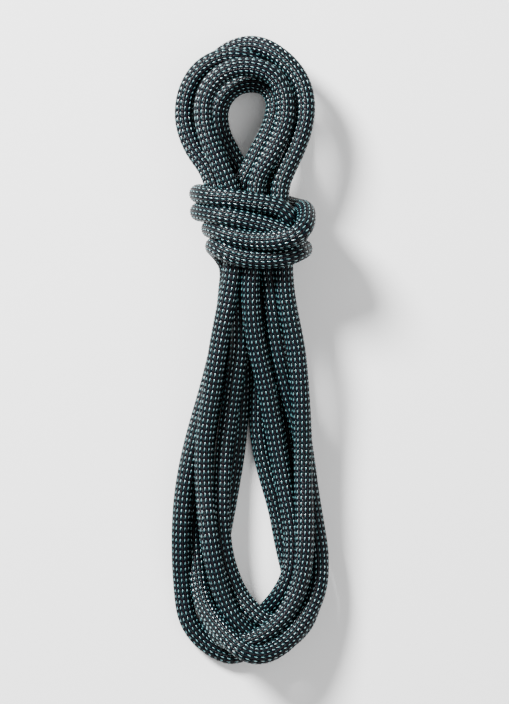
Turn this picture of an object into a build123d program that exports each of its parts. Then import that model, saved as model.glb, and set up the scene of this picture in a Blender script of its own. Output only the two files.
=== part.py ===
from build123d import *
import math
import os

# A dynamic climbing rope tied up as a hank, lying flat, in millimetres.
# X is across the hank, Y runs up it to the head loops, Z is up from the surface it lies on.
# Kernmantle rope: a braided sheath over a core of twisted nylon strands, with one
# identification thread in the middle and both ends cut hot, so that they fuse solid.

# ---- driving dimensions ----
rope_diameter = 9.5
sheath_wall = 1.1
core_strand_diameter = 1.6
core_clearance = 0.05  # between the outer strands and the sheath
inner_ring_strands = 3
outer_ring_strands = 9
inner_ring_radius = 1.0
thread_diameter = 0.34
fused_end_length = 4.0
fused_end_bevel = 0.8
corner_share = 0.45  # share of the shorter run that each bend takes up

bore_diameter = rope_diameter - 2 * sheath_wall
outer_ring_radius = bore_diameter / 2 - core_strand_diameter / 2 - core_clearance

# ---- route of the rope's centre line, one point per bend ----
# The rope lies on the surface where z is half its diameter.  Each list is one stretch
# between two crossings; together they are one rope, from the end hidden in the knot to
# the end tucked under the wraps.

# starts low inside the knot and runs down the right, along the floor, to the bottom
low_right_leg = [
    (14.5, 43, 16.3), (14.5, 30, 13), (15, 14, 10), (17, -4, 7), (18.5, -24, 5), (20, -46, 4.75),
    (23, -70, 4.75), (27, -92, 4.75), (31, -108, 4.75), (32.3, -121, 4.75), (29.8, -132.6, 5.5),
    (24.7, -140.7, 8), (16.5, -147, 11.5), (6.5, -145.5, 14.4),
]
# comes out under the right legs and climbs the left side over its neighbours
upper_left_leg = [
    (-2, -141, 15.5), (-8.2, -134.5, 17.5), (-12.2, -126.5, 17.5), (-16, -115.5, 18.5),
    (-19, -102, 21), (-21.3, -87, 21.3), (-22.7, -70, 19.5), (-23.4, -54, 20.5), (-21.8, -36, 23),
    (-18.8, -18, 25.5), (-16.2, 0, 27.5), (-13.2, 16, 29), (-10.3, 30, 30), (-8.6, 43, 31.3),
    (-8.4, 58, 31.3), (-15.2, 72, 26.3),
]
# outermost on the left of the head, over the low loop, then under the round one
wide_head_loop = [
    (-17.8, 82, 25), (-21.3, 91.6, 23), (-27.5, 99.7, 21.5), (-31.7, 109, 20), (-33.5, 119, 19),
    (-31.5, 131, 19), (-25, 141.5, 20), (-14, 147.3, 20.5), (-3.5, 147.2, 20.5),
    (4.8, 144.1, 15.7), (14, 140, 9.5), (20.8, 131.5, 5.5), (22.5, 119, 6), (20, 107, 10),
    (14, 95, 18),
]
# leaves the knot between two legs and comes out on the far right
outer_right_leg = [
    (9, 82, 23.5), (11.2, 69, 23.3), (8.9, 56, 27.6), (9, 43, 27), (10.5, 30, 25), (12, 14, 23),
    (13.8, 0, 21), (16.3, -11, 18.5), (21, -28, 14), (26, -42, 12.3), (28, -56, 12.3),
    (30, -71, 12.7), (32.5, -86, 13.2), (35, -101, 14.3), (34.7, -117, 16), (30.1, -129.6, 19),
    (23, -140.8, 23), (13.6, -149, 28), (4, -152.2, 32),
]
# crosses over everything at the bottom, then dives under the left legs
lower_left_leg = [
    (-4.8, -149, 32.5), (-12.5, -141.5, 27), (-19.8, -133.5, 18), (-24.2, -124.5, 11.5),
    (-26.2, -113, 6.5), (-27.5, -101, 4.75), (-28.5, -88, 4.75), (-27.7, -72, 4.75),
    (-25, -54, 4.75), (-20, -36, 4.75), (-16, -18, 4.75), (-13, 0, 4.75), (-11.5, 14, 4.75),
    (-10.3, 30, 4.75), (-10.8, 42, 5.5), (-11, 56, 18.3), (-12, 69, 17),
]
# lowest on the left of the head, climbing over the top to the right
low_head_loop = [
    (-14, 82, 14.8), (-17, 93, 12), (-21, 103, 10), (-24.5, 114, 9), (-25, 126, 8),
    (-21.5, 138, 8), (-14.5, 149, 9.5), (-3, 153.9, 13), (7.3, 152.6, 18), (17.8, 145.3, 22.5),
    (25, 136, 25.5), (28, 125.5, 27.5), (27.5, 114, 29), (23.5, 101.5, 30.5), (18.7, 91.5, 31.5),
]
# lies on top of the right side and dives at the bottom
top_right_leg = [
    (14.75, 82, 31.7), (15, 69, 31.7), (16.6, 56, 33.5), (16.6, 43, 32.7), (17.5, 30, 30.5),
    (19.7, 17, 29.5), (22.8, 3, 28), (24.5, -13, 26), (25.7, -30, 24), (26.5, -47, 22.2),
    (26.6, -64, 22.2), (27.3, -83, 22.8), (27.3, -101, 23.5), (25.5, -115, 23), (20.8, -127, 23),
    (13.5, -137, 24), (4, -143.7, 24.5), (-3.7, -146.3, 23),
]
# along the floor under the left legs, showing beside the lower opening
hidden_left_leg = [
    (-13, -144.3, 14), (-17.8, -136, 7), (-18, -124, 4.75), (-17, -111, 4.75), (-15, -96, 4.75),
    (-12.2, -81, 4.75), (-9.2, -64, 4.75), (-6.7, -48, 4.75), (-5.3, -32, 4.9), (-4.5, -17, 7.6),
    (-4.7, 0, 9.5), (-4, 14, 11), (-3.4, 30, 12), (-3.2, 43, 13.5), (-2.5, 56, 14.6),
    (-3, 69, 14.5),
]
# innermost in the head, round the eye of the loop
inner_head_loop = [
    (0.5, 82, 14.6), (-5, 91.3, 13), (-10.7, 101.3, 11.5), (-15.3, 111, 11), (-15.8, 122, 11.5),
    (-10.7, 130.7, 13), (-1, 135, 15), (9, 132.8, 17), (13.4, 124.2, 19), (11, 112, 21.5),
    (5, 101, 24), (0, 91, 25),
]
# along the floor, round the right of the lower opening
inner_right_leg = [
    (-5, 82, 24), (0.8, 69, 22.3), (6, 56, 17.5), (4.8, 43, 18), (4.5, 30, 17.5), (5, 14, 14),
    (5, 0, 11.5), (4.5, -18, 8.4), (4, -36, 6.2), (5.7, -50, 4.9), (9.2, -64, 4.75),
    (14, -80, 4.75), (16.7, -96, 4.75), (20, -110, 4.75), (23.3, -122, 6.8), (20.5, -133, 12.5),
]
# round the left of the lower opening, half under the upper left leg
middle_left_leg = [
    (10.5, -137.5, 14.8), (1.2, -131, 13.5), (-5.5, -122.5, 10.5), (-10, -112.5, 12),
    (-13.3, -101, 14), (-14.8, -86, 14.3), (-14.4, -69, 14), (-13.3, -50, 13.5), (-10.5, -32, 15),
    (-8, -16, 17), (-5.2, 0, 19), (-5, 14, 20.5), (-5.5, 30, 22), (-4, 43, 23.5),
    (-0.3, 58.5, 24.4), (-5.8, 72, 32),
]
# topmost loop of the head
top_head_loop = [
    (-10.5, 82, 32), (-15, 93, 32.5), (-20.5, 104.5, 32), (-23.8, 117, 31), (-22.3, 129, 30.5),
    (-15.5, 138, 30.5), (-5, 142, 30.5), (6, 141, 30.5), (14, 135.5, 30.5), (18, 124, 31.5),
    (17, 111, 33), (10, 97, 34), (5, 89, 33),
]
# from the middle of the knot down over the inner right leg
middle_right_leg = [
    (2.8, 82, 32.3), (3.8, 69, 33), (2.8, 56, 34), (0.5, 43, 32.5), (0, 30, 30.5), (1.3, 14, 28),
    (3.7, 0, 25.5), (8, -17.5, 21.5), (11, -34.5, 18), (14, -51, 15.5), (17.7, -70, 14.4),
    (21, -86, 14.4), (21.8, -99, 14.4), (20.3, -113.3, 14.4), (14.2, -124, 12), (8, -131, 5.8),
]
# round the bottom and up the far left, then under the others to the knot
outer_left_leg = [
    (5, -139, 4.75), (0, -148.6, 4.75), (-8, -154, 4.75), (-18, -150.3, 4.75), (-27, -143, 4.75),
    (-32.4, -133, 4.75), (-34, -118, 5.5), (-34.8, -104, 9.5), (-34.7, -88, 12.3),
    (-33.6, -72, 13), (-30.5, -54, 13.6), (-26.4, -38, 13.8), (-20.5, -18, 14.3), (-16, 0, 14.3),
    (-12.7, 14, 14.3), (-11.5, 29, 14.8),
]
# from under the left side over the front, down the right side and back under
first_wrap = [
    (-11.5, 40.5, 16.8), (-15.8, 48.3, 20.8), (-18.2, 52.3, 26), (-17, 52.2, 34.2),
    (-12.5, 49.2, 40), (-5.5, 46.5, 41.8), (3, 45.2, 42.5), (12, 45.5, 42.5), (19.5, 47, 42),
    (25, 49.7, 38), (26.6, 50.9, 29.5), (26.4, 51.2, 19), (23, 51.8, 9.5), (15, 54.3, 4.75),
    (4, 57, 4.75), (-7, 59.5, 4.75), (-15.3, 61, 7.6), (-19.9, 61.2, 16.5), (-19.5, 61.2, 27),
]
# over the front, then round in a loop at the right that locks the next two wraps
second_wrap = [
    (-16.5, 60.2, 36), (-9.5, 57.2, 41.3), (-0.5, 55, 43.8), (8.5, 54.2, 47), (16.5, 54.8, 51),
    (23, 57.2, 52), (26.8, 60.8, 50), (28.1, 65.5, 45), (27.8, 69.7, 36.4), (25.7, 71.2, 25),
    (21.8, 72.3, 13), (14.5, 75, 4.75), (3, 76.4, 4.75), (-8.5, 78, 4.75), (-19, 78.8, 6),
    (-25, 79, 13), (-26.2, 78.7, 23),
]
# nearest the head, its right end under the loop of the second wrap
third_wrap = [
    (-23.3, 77.6, 32.5), (-16, 76.2, 38.5), (-7, 75.3, 41.7), (2.5, 73.7, 41.8), (12, 72.2, 41.9),
    (16.9, 69.8, 41.8), (20, 65.7, 40.4), (23.5, 61.1, 35.2), (25.2, 58.9, 27), (24.9, 59.1, 16.5),
    (20.3, 61, 7.5), (9.5, 65.3, 4.75), (-1.5, 67.3, 4.75), (-12.5, 70, 4.75), (-21.3, 70.2, 8),
    (-25.6, 70, 16.5), (-25.2, 69.3, 27),
]
# between the third and the second, its end tucked under the second
fourth_wrap = [
    (-19.5, 68.2, 35.5), (-12.5, 66.8, 41), (-3.5, 65, 42.5), (5.5, 62.8, 42), (13.5, 60.3, 42),
    (19.4, 57.8, 42.8),
]
route_points = (
    low_right_leg + upper_left_leg + wide_head_loop
    + outer_right_leg + lower_left_leg + low_head_loop
    + top_right_leg + hidden_left_leg + inner_head_loop
    + inner_right_leg + middle_left_leg + top_head_loop
    + middle_right_leg + outer_left_leg + first_wrap
    + second_wrap + third_wrap + fourth_wrap
)


def bend_angle(before, corner, after):
    """Degrees that the route turns at a corner."""
    run_in = Vector(*corner) - Vector(*before)
    run_out = Vector(*after) - Vector(*corner)
    return run_in.get_angle(run_out)


def bend_radius(before, corner, after):
    """Largest bend that the two runs at a corner leave room for."""
    shorter_run = min(math.dist(before, corner), math.dist(corner, after))
    half_turn = math.radians(bend_angle(before, corner, after)) / 2
    return corner_share * shorter_run / math.tan(half_turn)


corners = list(zip(route_points, route_points[1:], route_points[2:]))
bend_radii = [bend_radius(*corner) for corner in corners]

with BuildLine() as route:
    FilletPolyline(*route_points, radius=bend_radii)

route_wire = route.wires()[0]
start_plane = Plane(origin=route_wire @ 0, z_dir=route_wire % 0)
finish_plane = Plane(origin=route_wire @ 1, z_dir=route_wire % 1)
os.makedirs("parts", exist_ok=True)


def save(part, label):
    part.label = label
    export_step(part, f"parts/{label}.step")


# ---- braided sheath: a tube along the whole rope ----
def make_filled_tube(diameter):
    with BuildPart() as filled_tube:
        with BuildSketch(start_plane):
            Circle(diameter / 2)
        sweep(path=route_wire)
    return filled_tube.part


def make_end_ring(plane):
    with BuildSketch(plane) as end_ring:
        Circle(rope_diameter / 2)
        Circle(bore_diameter / 2, mode=Mode.SUBTRACT)
    return end_ring.sketch


def curved_faces(part):
    return part.faces().filter_by(GeomType.PLANE, reverse=True)


outer_wall = curved_faces(make_filled_tube(rope_diameter))
bore_wall = curved_faces(make_filled_tube(bore_diameter))
end_rings = make_end_ring(start_plane).faces() + make_end_ring(finish_plane).faces()

with BuildPart() as sheath:
    add(Solid(Shell(outer_wall + bore_wall + end_rings)))
save(sheath.part, "sheath")


# ---- core: twisted strands in two rings round the identification thread ----
def make_strand(label, ring_radius, angle, diameter):
    with BuildPart() as strand:
        with BuildSketch(start_plane):
            with Locations((ring_radius * math.cos(angle), ring_radius * math.sin(angle))):
                Circle(diameter / 2)
        sweep(path=route_wire)
    save(strand.part, label)


for number in range(inner_ring_strands):
    turn = 2 * math.pi * number / inner_ring_strands
    make_strand(f"core_strand_inner_{number + 1}", inner_ring_radius, turn, core_strand_diameter)

for number in range(outer_ring_strands):
    turn = 2 * math.pi * number / outer_ring_strands
    make_strand(f"core_strand_outer_{number + 1}", outer_ring_radius, turn, core_strand_diameter)

make_strand("identification_thread", 0, 0, thread_diameter)


# ---- fused ends: sheath and core melted into one hard button ----
def make_fused_end(label, plane, direction):
    with BuildPart() as fused_end:
        with BuildSketch(plane):
            Circle(rope_diameter / 2)
        extrude(amount=direction * fused_end_length)
        outer_rim = fused_end.edges().sort_by_distance(plane.origin)[-1]
        chamfer(outer_rim, fused_end_bevel)
    save(fused_end.part, label)


make_fused_end("fused_end_inner", start_plane, -1)
make_fused_end("fused_end_tucked", finish_plane, 1)

# ---- what the numbers come to ----
box = sheath.part.bounding_box()
wall_area = math.pi * (rope_diameter**2 - bore_diameter**2) / 4
print("rope length", round(route_wire.length, 1))
print("bend radii", [round(radius, 1) for radius in bend_radii])
print("tightest bend", round(min(bend_radii), 2))
print("sharpest turn", round(max(bend_angle(*corner) for corner in corners), 1))
print("sheath volume", round(sheath.part.volume), "section by length", round(wall_area * route_wire.length))
print("box", box.min, box.max)
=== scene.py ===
import math

import bpy
import numpy as np
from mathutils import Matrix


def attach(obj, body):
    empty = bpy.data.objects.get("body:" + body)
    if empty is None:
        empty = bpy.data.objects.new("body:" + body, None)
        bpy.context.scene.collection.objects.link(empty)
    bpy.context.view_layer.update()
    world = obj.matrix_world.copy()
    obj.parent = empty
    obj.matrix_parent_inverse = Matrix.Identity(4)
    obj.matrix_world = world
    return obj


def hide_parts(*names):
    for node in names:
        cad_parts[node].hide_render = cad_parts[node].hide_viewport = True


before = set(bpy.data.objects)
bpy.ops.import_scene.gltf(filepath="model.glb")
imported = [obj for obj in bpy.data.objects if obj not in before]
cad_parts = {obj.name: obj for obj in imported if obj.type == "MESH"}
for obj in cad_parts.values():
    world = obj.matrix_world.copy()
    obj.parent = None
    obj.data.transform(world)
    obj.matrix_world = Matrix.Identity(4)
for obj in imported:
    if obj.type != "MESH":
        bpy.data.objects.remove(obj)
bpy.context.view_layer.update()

# ---- sizes, in metres ----
core_tube_radius = 0.00436  # the tube under the yarns, near black: painted shade between the floats
yarn_root_radius = 0.00438
yarn_crown = 0.0004  # how far a float of yarn rises above its ends
row_spacing = 0.00073  # between neighbouring rows of floats
path_step = 0.0004
strand_radius = 0.0008
inner_ring_radius = 0.001
outer_ring_radius = 0.0028
thread_radius = 0.00017
core_ring_spacing = 0.004

# ---- counts ----
carriers = 48  # yarns in the braid, half of them each way
twill_repeat = 4  # a yarn goes over two and under two
section_count = 11
inner_strand_count = 3
outer_strand_count = 9
core_tube_sides = 8
steps_between_points = 12
body_tube_smoothness = 5

# ---- camera, straight down on the hank ----
view_centre = (0.00225, -0.0005, 0.022)
view_distance = 2.5
view_height = 0.352  # what the picture's height takes in, at the view's centre
camera_data = bpy.data.cameras.new("camera")
camera_data.lens = camera_data.sensor_width * view_distance / view_height
camera = bpy.data.objects.new("camera", camera_data)
camera.location = (view_centre[0], view_centre[1], view_distance + view_centre[2])
bpy.context.scene.collection.objects.link(camera)
bpy.context.scene.camera = camera

# ---- route of the rope, one point per bend ----
# The points are the CAD tube's, apart from 13 that are hidden or nearly so. Those lie up to
# 3.7 mm from it, so that no gap shows between strands and the first wrap starts out of sight.

# starts low inside the knot and runs down the right, along the floor, to the bottom
low_right_leg = [
    (0.0145, 0.043, 0.0163), (0.0145, 0.03, 0.013), (0.015, 0.014, 0.01), (0.0156, -0.004, 0.007),
    (0.0166, -0.024, 0.005), (0.02, -0.046, 0.00475), (0.023, -0.07, 0.00475),
    (0.027, -0.092, 0.00475), (0.031, -0.108, 0.00475), (0.0323, -0.121, 0.00475),
    (0.0298, -0.1326, 0.0055), (0.0247, -0.1407, 0.008), (0.0165, -0.147, 0.0115),
    (0.0065, -0.1455, 0.0144),
]
# comes out under the right legs and climbs the left side over its neighbours
upper_left_leg = [
    (-0.002, -0.141, 0.0155), (-0.0082, -0.1345, 0.0175), (-0.0122, -0.1265, 0.0175),
    (-0.016, -0.1155, 0.0185), (-0.019, -0.102, 0.021), (-0.0213, -0.087, 0.0213),
    (-0.0227, -0.07, 0.0195), (-0.0234, -0.054, 0.0205), (-0.0218, -0.036, 0.023),
    (-0.0188, -0.018, 0.0255), (-0.0162, 0, 0.0275), (-0.0132, 0.016, 0.029),
    (-0.0103, 0.03, 0.03), (-0.0086, 0.043, 0.0313), (-0.0084, 0.058, 0.0313),
    (-0.0152, 0.072, 0.0263),
]
# outermost on the left of the head, over the low loop, then under the round one
wide_head_loop = [
    (-0.0178, 0.082, 0.025), (-0.0213, 0.0916, 0.023), (-0.0275, 0.0997, 0.0215),
    (-0.0317, 0.109, 0.02), (-0.0335, 0.119, 0.019), (-0.0315, 0.131, 0.019),
    (-0.025, 0.1415, 0.02), (-0.014, 0.1473, 0.0205), (-0.0035, 0.1472, 0.0205),
    (0.0048, 0.1441, 0.0157), (0.014, 0.14, 0.0095), (0.0208, 0.1315, 0.0055),
    (0.0225, 0.119, 0.006), (0.02, 0.107, 0.01), (0.014, 0.095, 0.018),
]
# leaves the knot between two legs and comes out on the far right
outer_right_leg = [
    (0.009, 0.082, 0.0235), (0.0112, 0.069, 0.0233), (0.0089, 0.056, 0.0276),
    (0.009, 0.043, 0.027), (0.0105, 0.03, 0.025), (0.012, 0.014, 0.023), (0.0138, 0, 0.021),
    (0.0163, -0.011, 0.0185), (0.021, -0.028, 0.014), (0.026, -0.042, 0.0123),
    (0.028, -0.056, 0.0123), (0.03, -0.071, 0.0127), (0.0325, -0.086, 0.0132),
    (0.035, -0.101, 0.0143), (0.0347, -0.117, 0.016), (0.0301, -0.1296, 0.019),
    (0.023, -0.1408, 0.023), (0.0136, -0.149, 0.028), (0.004, -0.1522, 0.032),
]
# crosses over everything at the bottom, then dives under the left legs
lower_left_leg = [
    (-0.0048, -0.149, 0.0325), (-0.0125, -0.1415, 0.027), (-0.0198, -0.1335, 0.018),
    (-0.0242, -0.1245, 0.0115), (-0.0262, -0.113, 0.0065), (-0.0275, -0.101, 0.00475),
    (-0.0285, -0.088, 0.00475), (-0.026, -0.072, 0.00475), (-0.0226, -0.054, 0.00475),
    (-0.0187, -0.036, 0.00475), (-0.016, -0.018, 0.00475), (-0.013, 0, 0.00475),
    (-0.0115, 0.014, 0.00475), (-0.0103, 0.03, 0.00475), (-0.0108, 0.042, 0.0055),
    (-0.011, 0.056, 0.0183), (-0.012, 0.069, 0.017),
]
# lowest on the left of the head, climbing over the top to the right
low_head_loop = [
    (-0.014, 0.082, 0.0148), (-0.017, 0.093, 0.012), (-0.021, 0.103, 0.01),
    (-0.0245, 0.114, 0.009), (-0.025, 0.126, 0.008), (-0.0215, 0.138, 0.008),
    (-0.0145, 0.149, 0.0095), (-0.003, 0.1539, 0.013), (0.0073, 0.1526, 0.018),
    (0.0178, 0.1453, 0.0225), (0.025, 0.136, 0.0255), (0.028, 0.1255, 0.0275),
    (0.0275, 0.114, 0.029), (0.0235, 0.1015, 0.0305), (0.0187, 0.0915, 0.0315),
]
# lies on top of the right side and dives at the bottom
top_right_leg = [
    (0.01475, 0.082, 0.0317), (0.015, 0.069, 0.0317), (0.0166, 0.056, 0.0335),
    (0.0166, 0.043, 0.0327), (0.0175, 0.03, 0.0305), (0.0197, 0.017, 0.0295),
    (0.0228, 0.003, 0.028), (0.0245, -0.013, 0.026), (0.0257, -0.03, 0.024),
    (0.0265, -0.047, 0.0222), (0.0266, -0.064, 0.0222), (0.0273, -0.083, 0.0228),
    (0.0273, -0.101, 0.0235), (0.0255, -0.115, 0.023), (0.0208, -0.127, 0.023),
    (0.0135, -0.137, 0.024), (0.004, -0.1437, 0.0245), (-0.0037, -0.1463, 0.023),
]
# along the floor under the left legs, showing beside the lower opening
hidden_left_leg = [
    (-0.015, -0.144, 0.013), (-0.0213, -0.1355, 0.0058), (-0.0195, -0.1245, 0.00475),
    (-0.017, -0.111, 0.00475), (-0.015, -0.096, 0.00475), (-0.0122, -0.081, 0.00475),
    (-0.0092, -0.064, 0.00475), (-0.0067, -0.048, 0.00475), (-0.0053, -0.032, 0.0049),
    (-0.0041, -0.017, 0.0076), (-0.0043, 0, 0.0095), (-0.004, 0.014, 0.011),
    (-0.0034, 0.03, 0.012), (-0.0032, 0.043, 0.0135), (-0.0025, 0.056, 0.0146),
    (-0.003, 0.069, 0.0145),
]
# innermost in the head, round the eye of the loop
inner_head_loop = [
    (0.0005, 0.082, 0.0146), (-0.005, 0.0913, 0.013), (-0.0107, 0.1013, 0.0115),
    (-0.0153, 0.111, 0.011), (-0.0158, 0.122, 0.0115), (-0.0107, 0.1307, 0.013),
    (-0.001, 0.135, 0.015), (0.009, 0.1328, 0.017), (0.0134, 0.1242, 0.019),
    (0.011, 0.112, 0.0215), (0.005, 0.101, 0.024), (0, 0.091, 0.025),
]
# along the floor, round the right of the lower opening
inner_right_leg = [
    (-0.005, 0.082, 0.024), (0.0008, 0.069, 0.0223), (0.006, 0.056, 0.0175),
    (0.0048, 0.043, 0.018), (0.0045, 0.03, 0.0175), (0.005, 0.014, 0.014), (0.005, 0, 0.0115),
    (0.0043, -0.018, 0.0084), (0.004, -0.036, 0.0062), (0.0057, -0.05, 0.0049),
    (0.0092, -0.064, 0.00475), (0.014, -0.08, 0.00475), (0.0167, -0.096, 0.00475),
    (0.02, -0.11, 0.00475), (0.0233, -0.122, 0.0068), (0.0205, -0.133, 0.0125),
]
# round the left of the lower opening, half under the upper left leg
middle_left_leg = [
    (0.0105, -0.1375, 0.0148), (0.0012, -0.131, 0.0135), (-0.0055, -0.1225, 0.0105),
    (-0.01, -0.1125, 0.012), (-0.0133, -0.101, 0.014), (-0.0148, -0.086, 0.0143),
    (-0.0144, -0.069, 0.014), (-0.0133, -0.05, 0.0135), (-0.0105, -0.032, 0.015),
    (-0.008, -0.016, 0.017), (-0.0052, 0, 0.019), (-0.005, 0.014, 0.0205), (-0.0055, 0.03, 0.022),
    (-0.004, 0.043, 0.0235), (-0.0003, 0.0585, 0.0244), (-0.0058, 0.072, 0.032),
]
# topmost loop of the head
top_head_loop = [
    (-0.0105, 0.082, 0.032), (-0.015, 0.093, 0.0325), (-0.0205, 0.1045, 0.032),
    (-0.0238, 0.117, 0.031), (-0.0223, 0.129, 0.0305), (-0.0155, 0.138, 0.0305),
    (-0.005, 0.142, 0.0305), (0.006, 0.141, 0.0305), (0.014, 0.1355, 0.0305),
    (0.018, 0.124, 0.0315), (0.017, 0.111, 0.033), (0.01, 0.097, 0.034), (0.005, 0.089, 0.033),
]
# from the middle of the knot down over the inner right leg
middle_right_leg = [
    (0.0028, 0.082, 0.0323), (0.0038, 0.069, 0.033), (0.0028, 0.056, 0.034),
    (0.0005, 0.043, 0.0325), (0, 0.03, 0.0305), (0.0013, 0.014, 0.028), (0.0037, 0, 0.0255),
    (0.008, -0.0175, 0.0215), (0.011, -0.0345, 0.018), (0.014, -0.051, 0.0155),
    (0.0177, -0.07, 0.0144), (0.021, -0.086, 0.0144), (0.0218, -0.099, 0.0144),
    (0.0203, -0.1133, 0.0144), (0.0142, -0.124, 0.012), (0.008, -0.131, 0.0058),
]
# round the bottom and up the far left, then under the others to the knot
outer_left_leg = [
    (0.005, -0.139, 0.00475), (0, -0.1486, 0.00475), (-0.008, -0.154, 0.00475),
    (-0.018, -0.1503, 0.00475), (-0.027, -0.143, 0.00475), (-0.0324, -0.133, 0.00475),
    (-0.034, -0.118, 0.0055), (-0.0348, -0.104, 0.0095), (-0.0347, -0.088, 0.0123),
    (-0.0336, -0.072, 0.013), (-0.0305, -0.054, 0.0136), (-0.0264, -0.038, 0.0138),
    (-0.0205, -0.018, 0.0143), (-0.016, 0, 0.0143), (-0.0127, 0.014, 0.0143),
    (-0.0115, 0.029, 0.0148),
]
# from under the left side over the front, down the right side and back under
first_wrap = [
    (-0.01, 0.0416, 0.0172), (-0.0144, 0.0488, 0.0208), (-0.0182, 0.0523, 0.026),
    (-0.017, 0.0522, 0.0342), (-0.0125, 0.0492, 0.04), (-0.0055, 0.0465, 0.0418),
    (0.003, 0.0452, 0.0425), (0.012, 0.0455, 0.0425), (0.0195, 0.047, 0.042),
    (0.025, 0.0497, 0.038), (0.0266, 0.0509, 0.0295), (0.0264, 0.0512, 0.019),
    (0.023, 0.0518, 0.0095), (0.015, 0.0543, 0.00475), (0.004, 0.057, 0.00475),
    (-0.007, 0.0595, 0.00475), (-0.0153, 0.061, 0.0076), (-0.0199, 0.0612, 0.0165),
    (-0.0195, 0.0612, 0.027),
]
# over the front, then round in a loop at the right that locks the next two wraps
second_wrap = [
    (-0.0165, 0.0602, 0.036), (-0.0095, 0.0572, 0.0413), (-0.0005, 0.055, 0.0438),
    (0.0085, 0.0542, 0.047), (0.0165, 0.0548, 0.051), (0.023, 0.0572, 0.052),
    (0.0268, 0.0608, 0.05), (0.0281, 0.0655, 0.045), (0.0278, 0.0697, 0.0364),
    (0.0257, 0.0712, 0.025), (0.0218, 0.0723, 0.013), (0.0145, 0.075, 0.00475),
    (0.003, 0.0764, 0.00475), (-0.0085, 0.078, 0.00475), (-0.019, 0.0788, 0.006),
    (-0.025, 0.079, 0.013), (-0.0262, 0.0787, 0.023),
]
# nearest the head, its right end under the loop of the second wrap
third_wrap = [
    (-0.0233, 0.0776, 0.0325), (-0.016, 0.0762, 0.0385), (-0.007, 0.0753, 0.0417),
    (0.0025, 0.0737, 0.0418), (0.012, 0.0722, 0.0419), (0.0169, 0.0698, 0.0418),
    (0.02, 0.0657, 0.0404), (0.0235, 0.0611, 0.0352), (0.0252, 0.0589, 0.027),
    (0.0249, 0.0591, 0.0165), (0.0203, 0.061, 0.0075), (0.0095, 0.0653, 0.00475),
    (-0.0015, 0.0673, 0.00475), (-0.0125, 0.07, 0.00475), (-0.0213, 0.0702, 0.008),
    (-0.0256, 0.07, 0.0165), (-0.0252, 0.0693, 0.027),
]
# between the third and the second, its end tucked under the second
fourth_wrap = [
    (-0.0195, 0.0682, 0.0355), (-0.0125, 0.0668, 0.041), (-0.0035, 0.065, 0.0425),
    (0.0055, 0.0628, 0.042), (0.0135, 0.0603, 0.042), (0.0194, 0.0578, 0.0428),
]
route_points = (
    low_right_leg + upper_left_leg + wide_head_loop
    + outer_right_leg + lower_left_leg + low_head_loop
    + top_right_leg + hidden_left_leg + inner_head_loop
    + inner_right_leg + middle_left_leg + top_head_loop
    + middle_right_leg + outer_left_leg + first_wrap
    + second_wrap + third_wrap + fourth_wrap
)


def add_object(name, data, body="root"):
    piece = bpy.data.objects.new(name, data)
    bpy.context.scene.collection.objects.link(piece)
    if body:
        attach(piece, body)
    return piece


def add_mesh(name, points, faces, materials):
    """A smooth-shaded mesh piece that rides on the root."""
    mesh = bpy.data.meshes.new(name)
    mesh.from_pydata(points.reshape(-1, 3), [], faces)
    for material in materials:
        mesh.materials.append(material)
    mesh.polygons.foreach_set("use_smooth", np.ones(len(faces), dtype=bool))
    mesh.update()
    return add_object(name, mesh)


def make_route_curve(name, tube_radius):
    """A smooth curve along the route: a tube, or a bare line where the radius is 0."""
    curve = bpy.data.curves.new(name, "CURVE")
    curve.dimensions = "3D"
    curve.resolution_u = steps_between_points
    # the points carry the radius, because the curve's own box grows by what they carry
    curve.bevel_depth = 1 if tube_radius else 0
    curve.bevel_resolution = body_tube_smoothness
    curve.use_fill_caps = True
    spline = curve.splines.new("NURBS")
    spline.points.add(len(route_points) - 1)
    for point, place in zip(spline.points, route_points):
        point.co = (*place, 1)
        point.radius = tube_radius
    spline.order_u = 3
    spline.use_endpoint_u = True
    return curve


# ---- materials ----
nylon_ior = 1.8
sheen_roughness = 0.4
filament_scale = 900
filament_detail = 3
filament_shades = (0.3, 0.7)  # noise values at which a filament is darkest and lightest
filament_bump = 0.35
filament_depth = 0.0001


def make_nylon(name, dark, light, roughness, gloss, sheen=0):
    """Nylon: fine filaments that vary a little from dark to light, with a soft sheen."""
    material = bpy.data.materials.new(name)
    material.use_nodes = True
    nodes = material.node_tree.nodes
    links = material.node_tree.links
    shader = nodes["Principled BSDF"]
    shader.inputs["Roughness"].default_value = roughness
    shader.inputs["Specular IOR Level"].default_value = gloss
    shader.inputs["IOR"].default_value = nylon_ior
    shader.inputs["Sheen Weight"].default_value = sheen
    shader.inputs["Sheen Roughness"].default_value = sheen_roughness
    place = nodes.new("ShaderNodeTexCoord")
    filaments = nodes.new("ShaderNodeTexNoise")
    filaments.inputs["Scale"].default_value = filament_scale
    filaments.inputs["Detail"].default_value = filament_detail
    ramp = nodes.new("ShaderNodeValToRGB")
    for stop, position, colour in zip(ramp.color_ramp.elements, filament_shades, (dark, light)):
        stop.position = position
        stop.color = (*colour, 1)
    bump = nodes.new("ShaderNodeBump")
    bump.inputs["Strength"].default_value = filament_bump
    bump.inputs["Distance"].default_value = filament_depth
    links.new(place.outputs["Object"], filaments.inputs["Vector"])
    links.new(filaments.outputs["Fac"], ramp.inputs["Fac"])
    links.new(ramp.outputs["Color"], shader.inputs["Base Color"])
    links.new(filaments.outputs["Fac"], bump.inputs["Height"])
    links.new(bump.outputs["Normal"], shader.inputs["Normal"])
    return material


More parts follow.
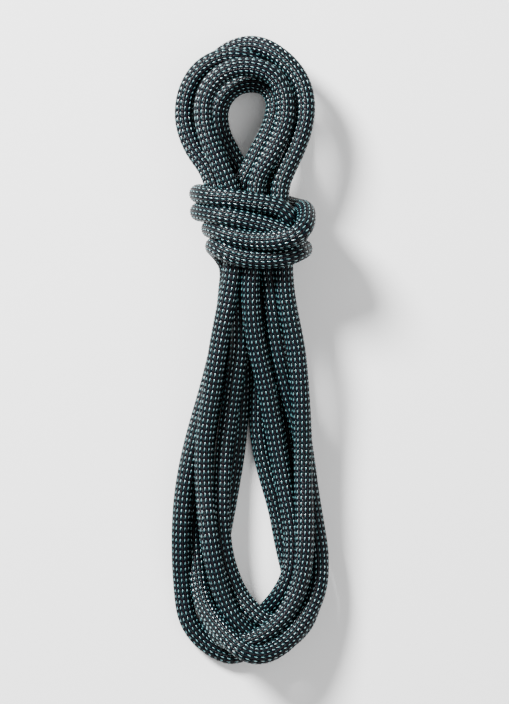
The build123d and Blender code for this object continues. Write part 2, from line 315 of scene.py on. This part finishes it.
pale_yarn = make_nylon(
    "pale_yarn", dark=(0.03, 0.12, 0.13), light=(0.13, 0.34, 0.365), roughness=0.27, gloss=1
)
black_yarn = make_nylon(
    "black_yarn",
    dark=(0.0003, 0.0026, 0.0042),
    light=(0.0008, 0.006, 0.0098),
    roughness=0.35,
    gloss=0.03,
)
grey_yarn = make_nylon(
    "grey_yarn",
    dark=(0.0015, 0.0038, 0.0048),
    light=(0.0055, 0.0115, 0.0138),
    roughness=0.28,
    gloss=0.08,
)
plum_yarn = make_nylon(
    "plum_yarn",
    dark=(0.0018, 0.0007, 0.0016),
    light=(0.0065, 0.002, 0.0046),
    roughness=0.3,
    gloss=0.05,
)
# painted shade: a near-black colour for the tube under the braid, standing for the shade between
# and under the floats
painted_shade_tube = make_nylon(
    "painted_shade_tube",
    dark=(0.0002, 0.0006, 0.0008),
    light=(0.0004, 0.0012, 0.0016),
    roughness=0.8,
    gloss=0.01,
)
fused_nylon = make_nylon(
    "fused_nylon", dark=(0.008, 0.01, 0.012), light=(0.03, 0.032, 0.035), roughness=0.3, gloss=0.3
)
white_nylon = make_nylon(
    "white_nylon",
    dark=(0.68, 0.66, 0.62),
    light=(0.85, 0.84, 0.8),
    roughness=0.5,
    gloss=0.3,
    sheen=0.3,
)
red_thread = make_nylon(
    "red_thread",
    dark=(0.4, 0.02, 0.02),
    light=(0.6, 0.05, 0.04),
    roughness=0.5,
    gloss=0.3,
    sheen=0.2,
)

# ---- the rope's body: one smooth curve in near-black painted shade, seen only between the yarns ----
rope = add_object("rope", make_route_curve("rope", core_tube_radius))
rope.data.materials.append(painted_shade_tube)


# ---- path along the curve, with a frame that doesn't roll ----
def read_path():
    """Points of the rope's smooth curve, read from a copy of it that has no tube."""
    line = bpy.data.objects.new("line", make_route_curve("line", 0))
    bpy.context.scene.collection.objects.link(line)
    evaluated = line.evaluated_get(bpy.context.evaluated_depsgraph_get())
    mesh = bpy.data.meshes.new_from_object(evaluated)
    points = np.array([vertex.co[:] for vertex in mesh.vertices])
    bpy.data.objects.remove(line)
    bpy.data.meshes.remove(mesh)
    return points


def interpolate(wanted, known, rows):
    """Rows of three numbers at the wanted distances, between the rows at known ones."""
    return np.stack([np.interp(wanted, known, rows[:, axis]) for axis in range(3)], axis=-1)


def resample(points, step):
    """Even distances along a path, and its points there."""
    run = np.linalg.norm(np.diff(points, axis=0), axis=1)
    reached = np.concatenate([[0], np.cumsum(run)])
    wanted = np.linspace(0, reached[-1], int(reached[-1] / step) + 1)
    return wanted, interpolate(wanted, reached, points)


def unit(vectors):
    return vectors / np.linalg.norm(vectors, axis=-1, keepdims=True)


def steady_frame(points):
    """Two directions across the path at each point, which don't roll about it."""
    tangents = unit(np.gradient(points, axis=0))
    across = np.zeros_like(points)
    side = np.cross(tangents[0], (0, 0, 1))
    for index, tangent in enumerate(tangents):
        side = unit(side - tangent * np.dot(side, tangent))
        across[index] = side
    return across, np.cross(tangents, across)


along, places = resample(read_path(), path_step)
sides, ups = steady_frame(places)
rope_length = float(along[-1])

# the braid's columns wind slowly about the rope: by how much in radians, over what run of
# rope in metres, and from what phase
column_windings = ((0.9, 0.21, 0), (0.5, 0.083, 1))


def column_turn(distance):
    return sum(turn * np.sin(distance / run + phase) for turn, run, phase in column_windings)


def place_on_rope(distance, angle, radius):
    """Points at a distance along the rope, an angle about it and a radius from its middle."""
    angle = angle + column_turn(distance)
    side = interpolate(distance, along, sides)
    up = interpolate(distance, along, ups)
    outward = side * np.cos(angle)[..., None] + up * np.sin(angle)[..., None]
    return interpolate(distance, along, places) + outward * radius[..., None]


# ---- braid: each float of yarn is a small crowned patch that dives under its neighbours ----
float_overlap = 1.08  # half length of a float against the room it has, so neighbours meet
float_shoulder = 0.55
# length and width of each yarn's floats against a full one's: pale, black, grey, plum
yarn_materials = [pale_yarn, black_yarn, grey_yarn, plum_yarn]
float_length = np.array([0.44, 1, 0.95, 1])
float_width = np.array([0.84, 1, 0.95, 1])
first_rising_kind = 0  # pale and black rise round the rope as it runs on, grey and plum fall
first_falling_kind = 2

patch_rows = np.array([-1, -float_shoulder, 0, float_shoulder, 1]) * float_overlap
patch_columns = np.array([-1, 0, 1])
patch_lengthwise, patch_crosswise = (
    grid.ravel() for grid in np.meshgrid(patch_rows, patch_columns, indexing="ij")
)
crown_across = 1 - patch_crosswise**2
crown_along = 1 - (np.abs(patch_lengthwise) / float_overlap) ** 3
patch_height = yarn_crown * crown_across * crown_along
patch_faces = []
for row in range(len(patch_rows) - 1):
    for column in range(len(patch_columns) - 1):
        first = row * len(patch_columns) + column
        below = first + len(patch_columns)
        patch_faces.append((below, below + 1, first + 1, first))
patch_faces = np.array(patch_faces)


def float_patches(first_row, last_row, first_column, lean, first_kind):
    """Patches of the floats that lean one way: their points and which yarn each is."""
    pairs = np.arange(first_row, last_row)
    columns = np.arange(first_column, carriers, twill_repeat)
    pair, column = np.meshgrid(pairs, columns, indexing="ij")
    pair = pair.ravel()[:, None]
    column = column.ravel()[:, None]
    kind = first_kind + pair % 2
    lengthwise = patch_lengthwise * float_length[kind]
    crosswise = patch_crosswise * float_width[kind]
    around = (column + 0.5 + lengthwise) * 2 * math.pi / carriers
    distance = (2 * pair + 0.5 * lean + lean * lengthwise + crosswise) * row_spacing
    distance = np.clip(distance, 0, rope_length)
    radius = np.broadcast_to(yarn_root_radius + patch_height, distance.shape)
    return place_on_rope(distance, around, radius), kind.ravel()


def make_section(number):
    """One length of the braid, with every float in it."""
    pairs = int(rope_length / row_spacing / 2)
    first_row = pairs * number // section_count
    last_row = pairs * (number + 1) // section_count
    rising, rising_kind = float_patches(
        first_row, last_row, first_column=0, lean=1, first_kind=first_rising_kind
    )
    falling, falling_kind = float_patches(
        first_row, last_row, first_column=twill_repeat // 2, lean=-1, first_kind=first_falling_kind
    )
    points = np.concatenate([rising, falling])
    kinds = np.concatenate([rising_kind, falling_kind])
    patch_count, patch_size = points.shape[:2]
    faces = patch_faces[None] + (np.arange(patch_count) * patch_size)[:, None, None]
    face_kinds = np.repeat(kinds, len(patch_faces)).astype(np.int32)
    name = f"braid_{number + 1}"
    section = add_mesh(name, points, faces.reshape(-1, 4), yarn_materials)
    section.data.polygons.foreach_set("material_index", face_kinds)
    section.data.update()
    return section


braid_sections = [make_section(number) for number in range(section_count)]


# ---- core: strands and a thread that follow the rope's own line, inside the braid ----
def make_core_tube(name, node, material, tube_radius, ring_radius=0, ring_angle=0):
    """A thin tube along the rope that stands for a CAD core node."""
    ring_count = int(rope_length / core_ring_spacing)
    distance = np.linspace(0, rope_length, ring_count)[:, None]
    turn = np.arange(core_tube_sides) * 2 * math.pi / core_tube_sides
    across = ring_radius * math.cos(ring_angle) + tube_radius * np.cos(turn)
    upward = ring_radius * math.sin(ring_angle) + tube_radius * np.sin(turn)
    shape = (ring_count, core_tube_sides)
    points = place_on_rope(
        np.broadcast_to(distance, shape),
        np.broadcast_to(np.arctan2(upward, across), shape),
        np.broadcast_to(np.hypot(across, upward), shape),
    )
    faces = [tuple(reversed(range(core_tube_sides)))]
    for ring_start in range(0, (ring_count - 1) * core_tube_sides, core_tube_sides):
        for side in range(core_tube_sides):
            here = ring_start + side
            beside = ring_start + (side + 1) % core_tube_sides
            faces.append((here, beside, beside + core_tube_sides, here + core_tube_sides))
    last_ring_start = (ring_count - 1) * core_tube_sides
    faces.append(tuple(range(last_ring_start, last_ring_start + core_tube_sides)))
    tube = add_mesh(name, points, faces, [material])
    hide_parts(node)
    return tube


def make_strands(ring, strand_count, ring_radius):
    """A ring of core strands, evenly spaced about the rope's middle."""
    strands = []
    for number in range(strand_count):
        name = f"strand_{ring}_{number + 1}"
        angle = 2 * math.pi * number / strand_count
        strands.append(
            make_core_tube(
                name, f"core_{name}", white_nylon, strand_radius, ring_radius, angle
            )
        )
    return strands


thread = make_core_tube(
    "thread", "identification_thread", red_thread, tube_radius=thread_radius
)
inner_strands = make_strands("inner", inner_strand_count, inner_ring_radius)
outer_strands = make_strands("outer", outer_strand_count, outer_ring_radius)

# ---- the rope and its braid stand for the plain sheath ----
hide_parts("sheath")

# ---- the two fused ends are the CAD's, in melted nylon ----
for node in ("fused_end_inner", "fused_end_tucked"):
    end_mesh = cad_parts[node].data
    end_mesh.materials.clear()
    end_mesh.materials.append(fused_nylon)

# ---- floor ----
floor_reach = 6
floor_grey = 0.96
floor_roughness = 0.9
floor_corners = [
    (-floor_reach, -floor_reach, 0),
    (floor_reach, -floor_reach, 0),
    (floor_reach, floor_reach, 0),
    (-floor_reach, floor_reach, 0),
]
floor_mesh = bpy.data.meshes.new("floor")
floor_mesh.from_pydata(floor_corners, [], [(0, 1, 2, 3)])
floor = add_object("floor", floor_mesh, body=None)
floor_material = bpy.data.materials.new("floor")
floor_material.use_nodes = True
floor_shader = floor_material.node_tree.nodes["Principled BSDF"]
floor_shader.inputs["Base Color"].default_value = (floor_grey, floor_grey, floor_grey, 1)
floor_shader.inputs["Roughness"].default_value = floor_roughness
floor_mesh.materials.append(floor_material)


# ---- light: a small key from the upper left, a wide fill from the right, a dim sky ----
def add_light(name, place, size, power):
    """A round lamp that points at the middle of the hank."""
    data = bpy.data.lights.new(name, "AREA")
    data.shape = "DISK"
    data.size = size
    data.energy = power
    light = bpy.data.objects.new(name, data)
    light.location = place
    x, y, z = place
    light.rotation_euler = (math.atan2(math.hypot(x, y), z), 0, math.atan2(y, x) + math.pi / 2)
    bpy.context.scene.collection.objects.link(light)


add_light("key", place=(-1.05, 1.1, 1.3), size=0.6, power=160)
add_light("fill", place=(0.9, -0.2, 1.8), size=2.2, power=30)
sky_strength = 0.34
world = bpy.data.worlds.new("world")
world.use_nodes = True
sky = world.node_tree.nodes["Background"]
sky.inputs["Color"].default_value = (1, 1, 1, 1)
sky.inputs["Strength"].default_value = sky_strength
bpy.context.scene.world = world
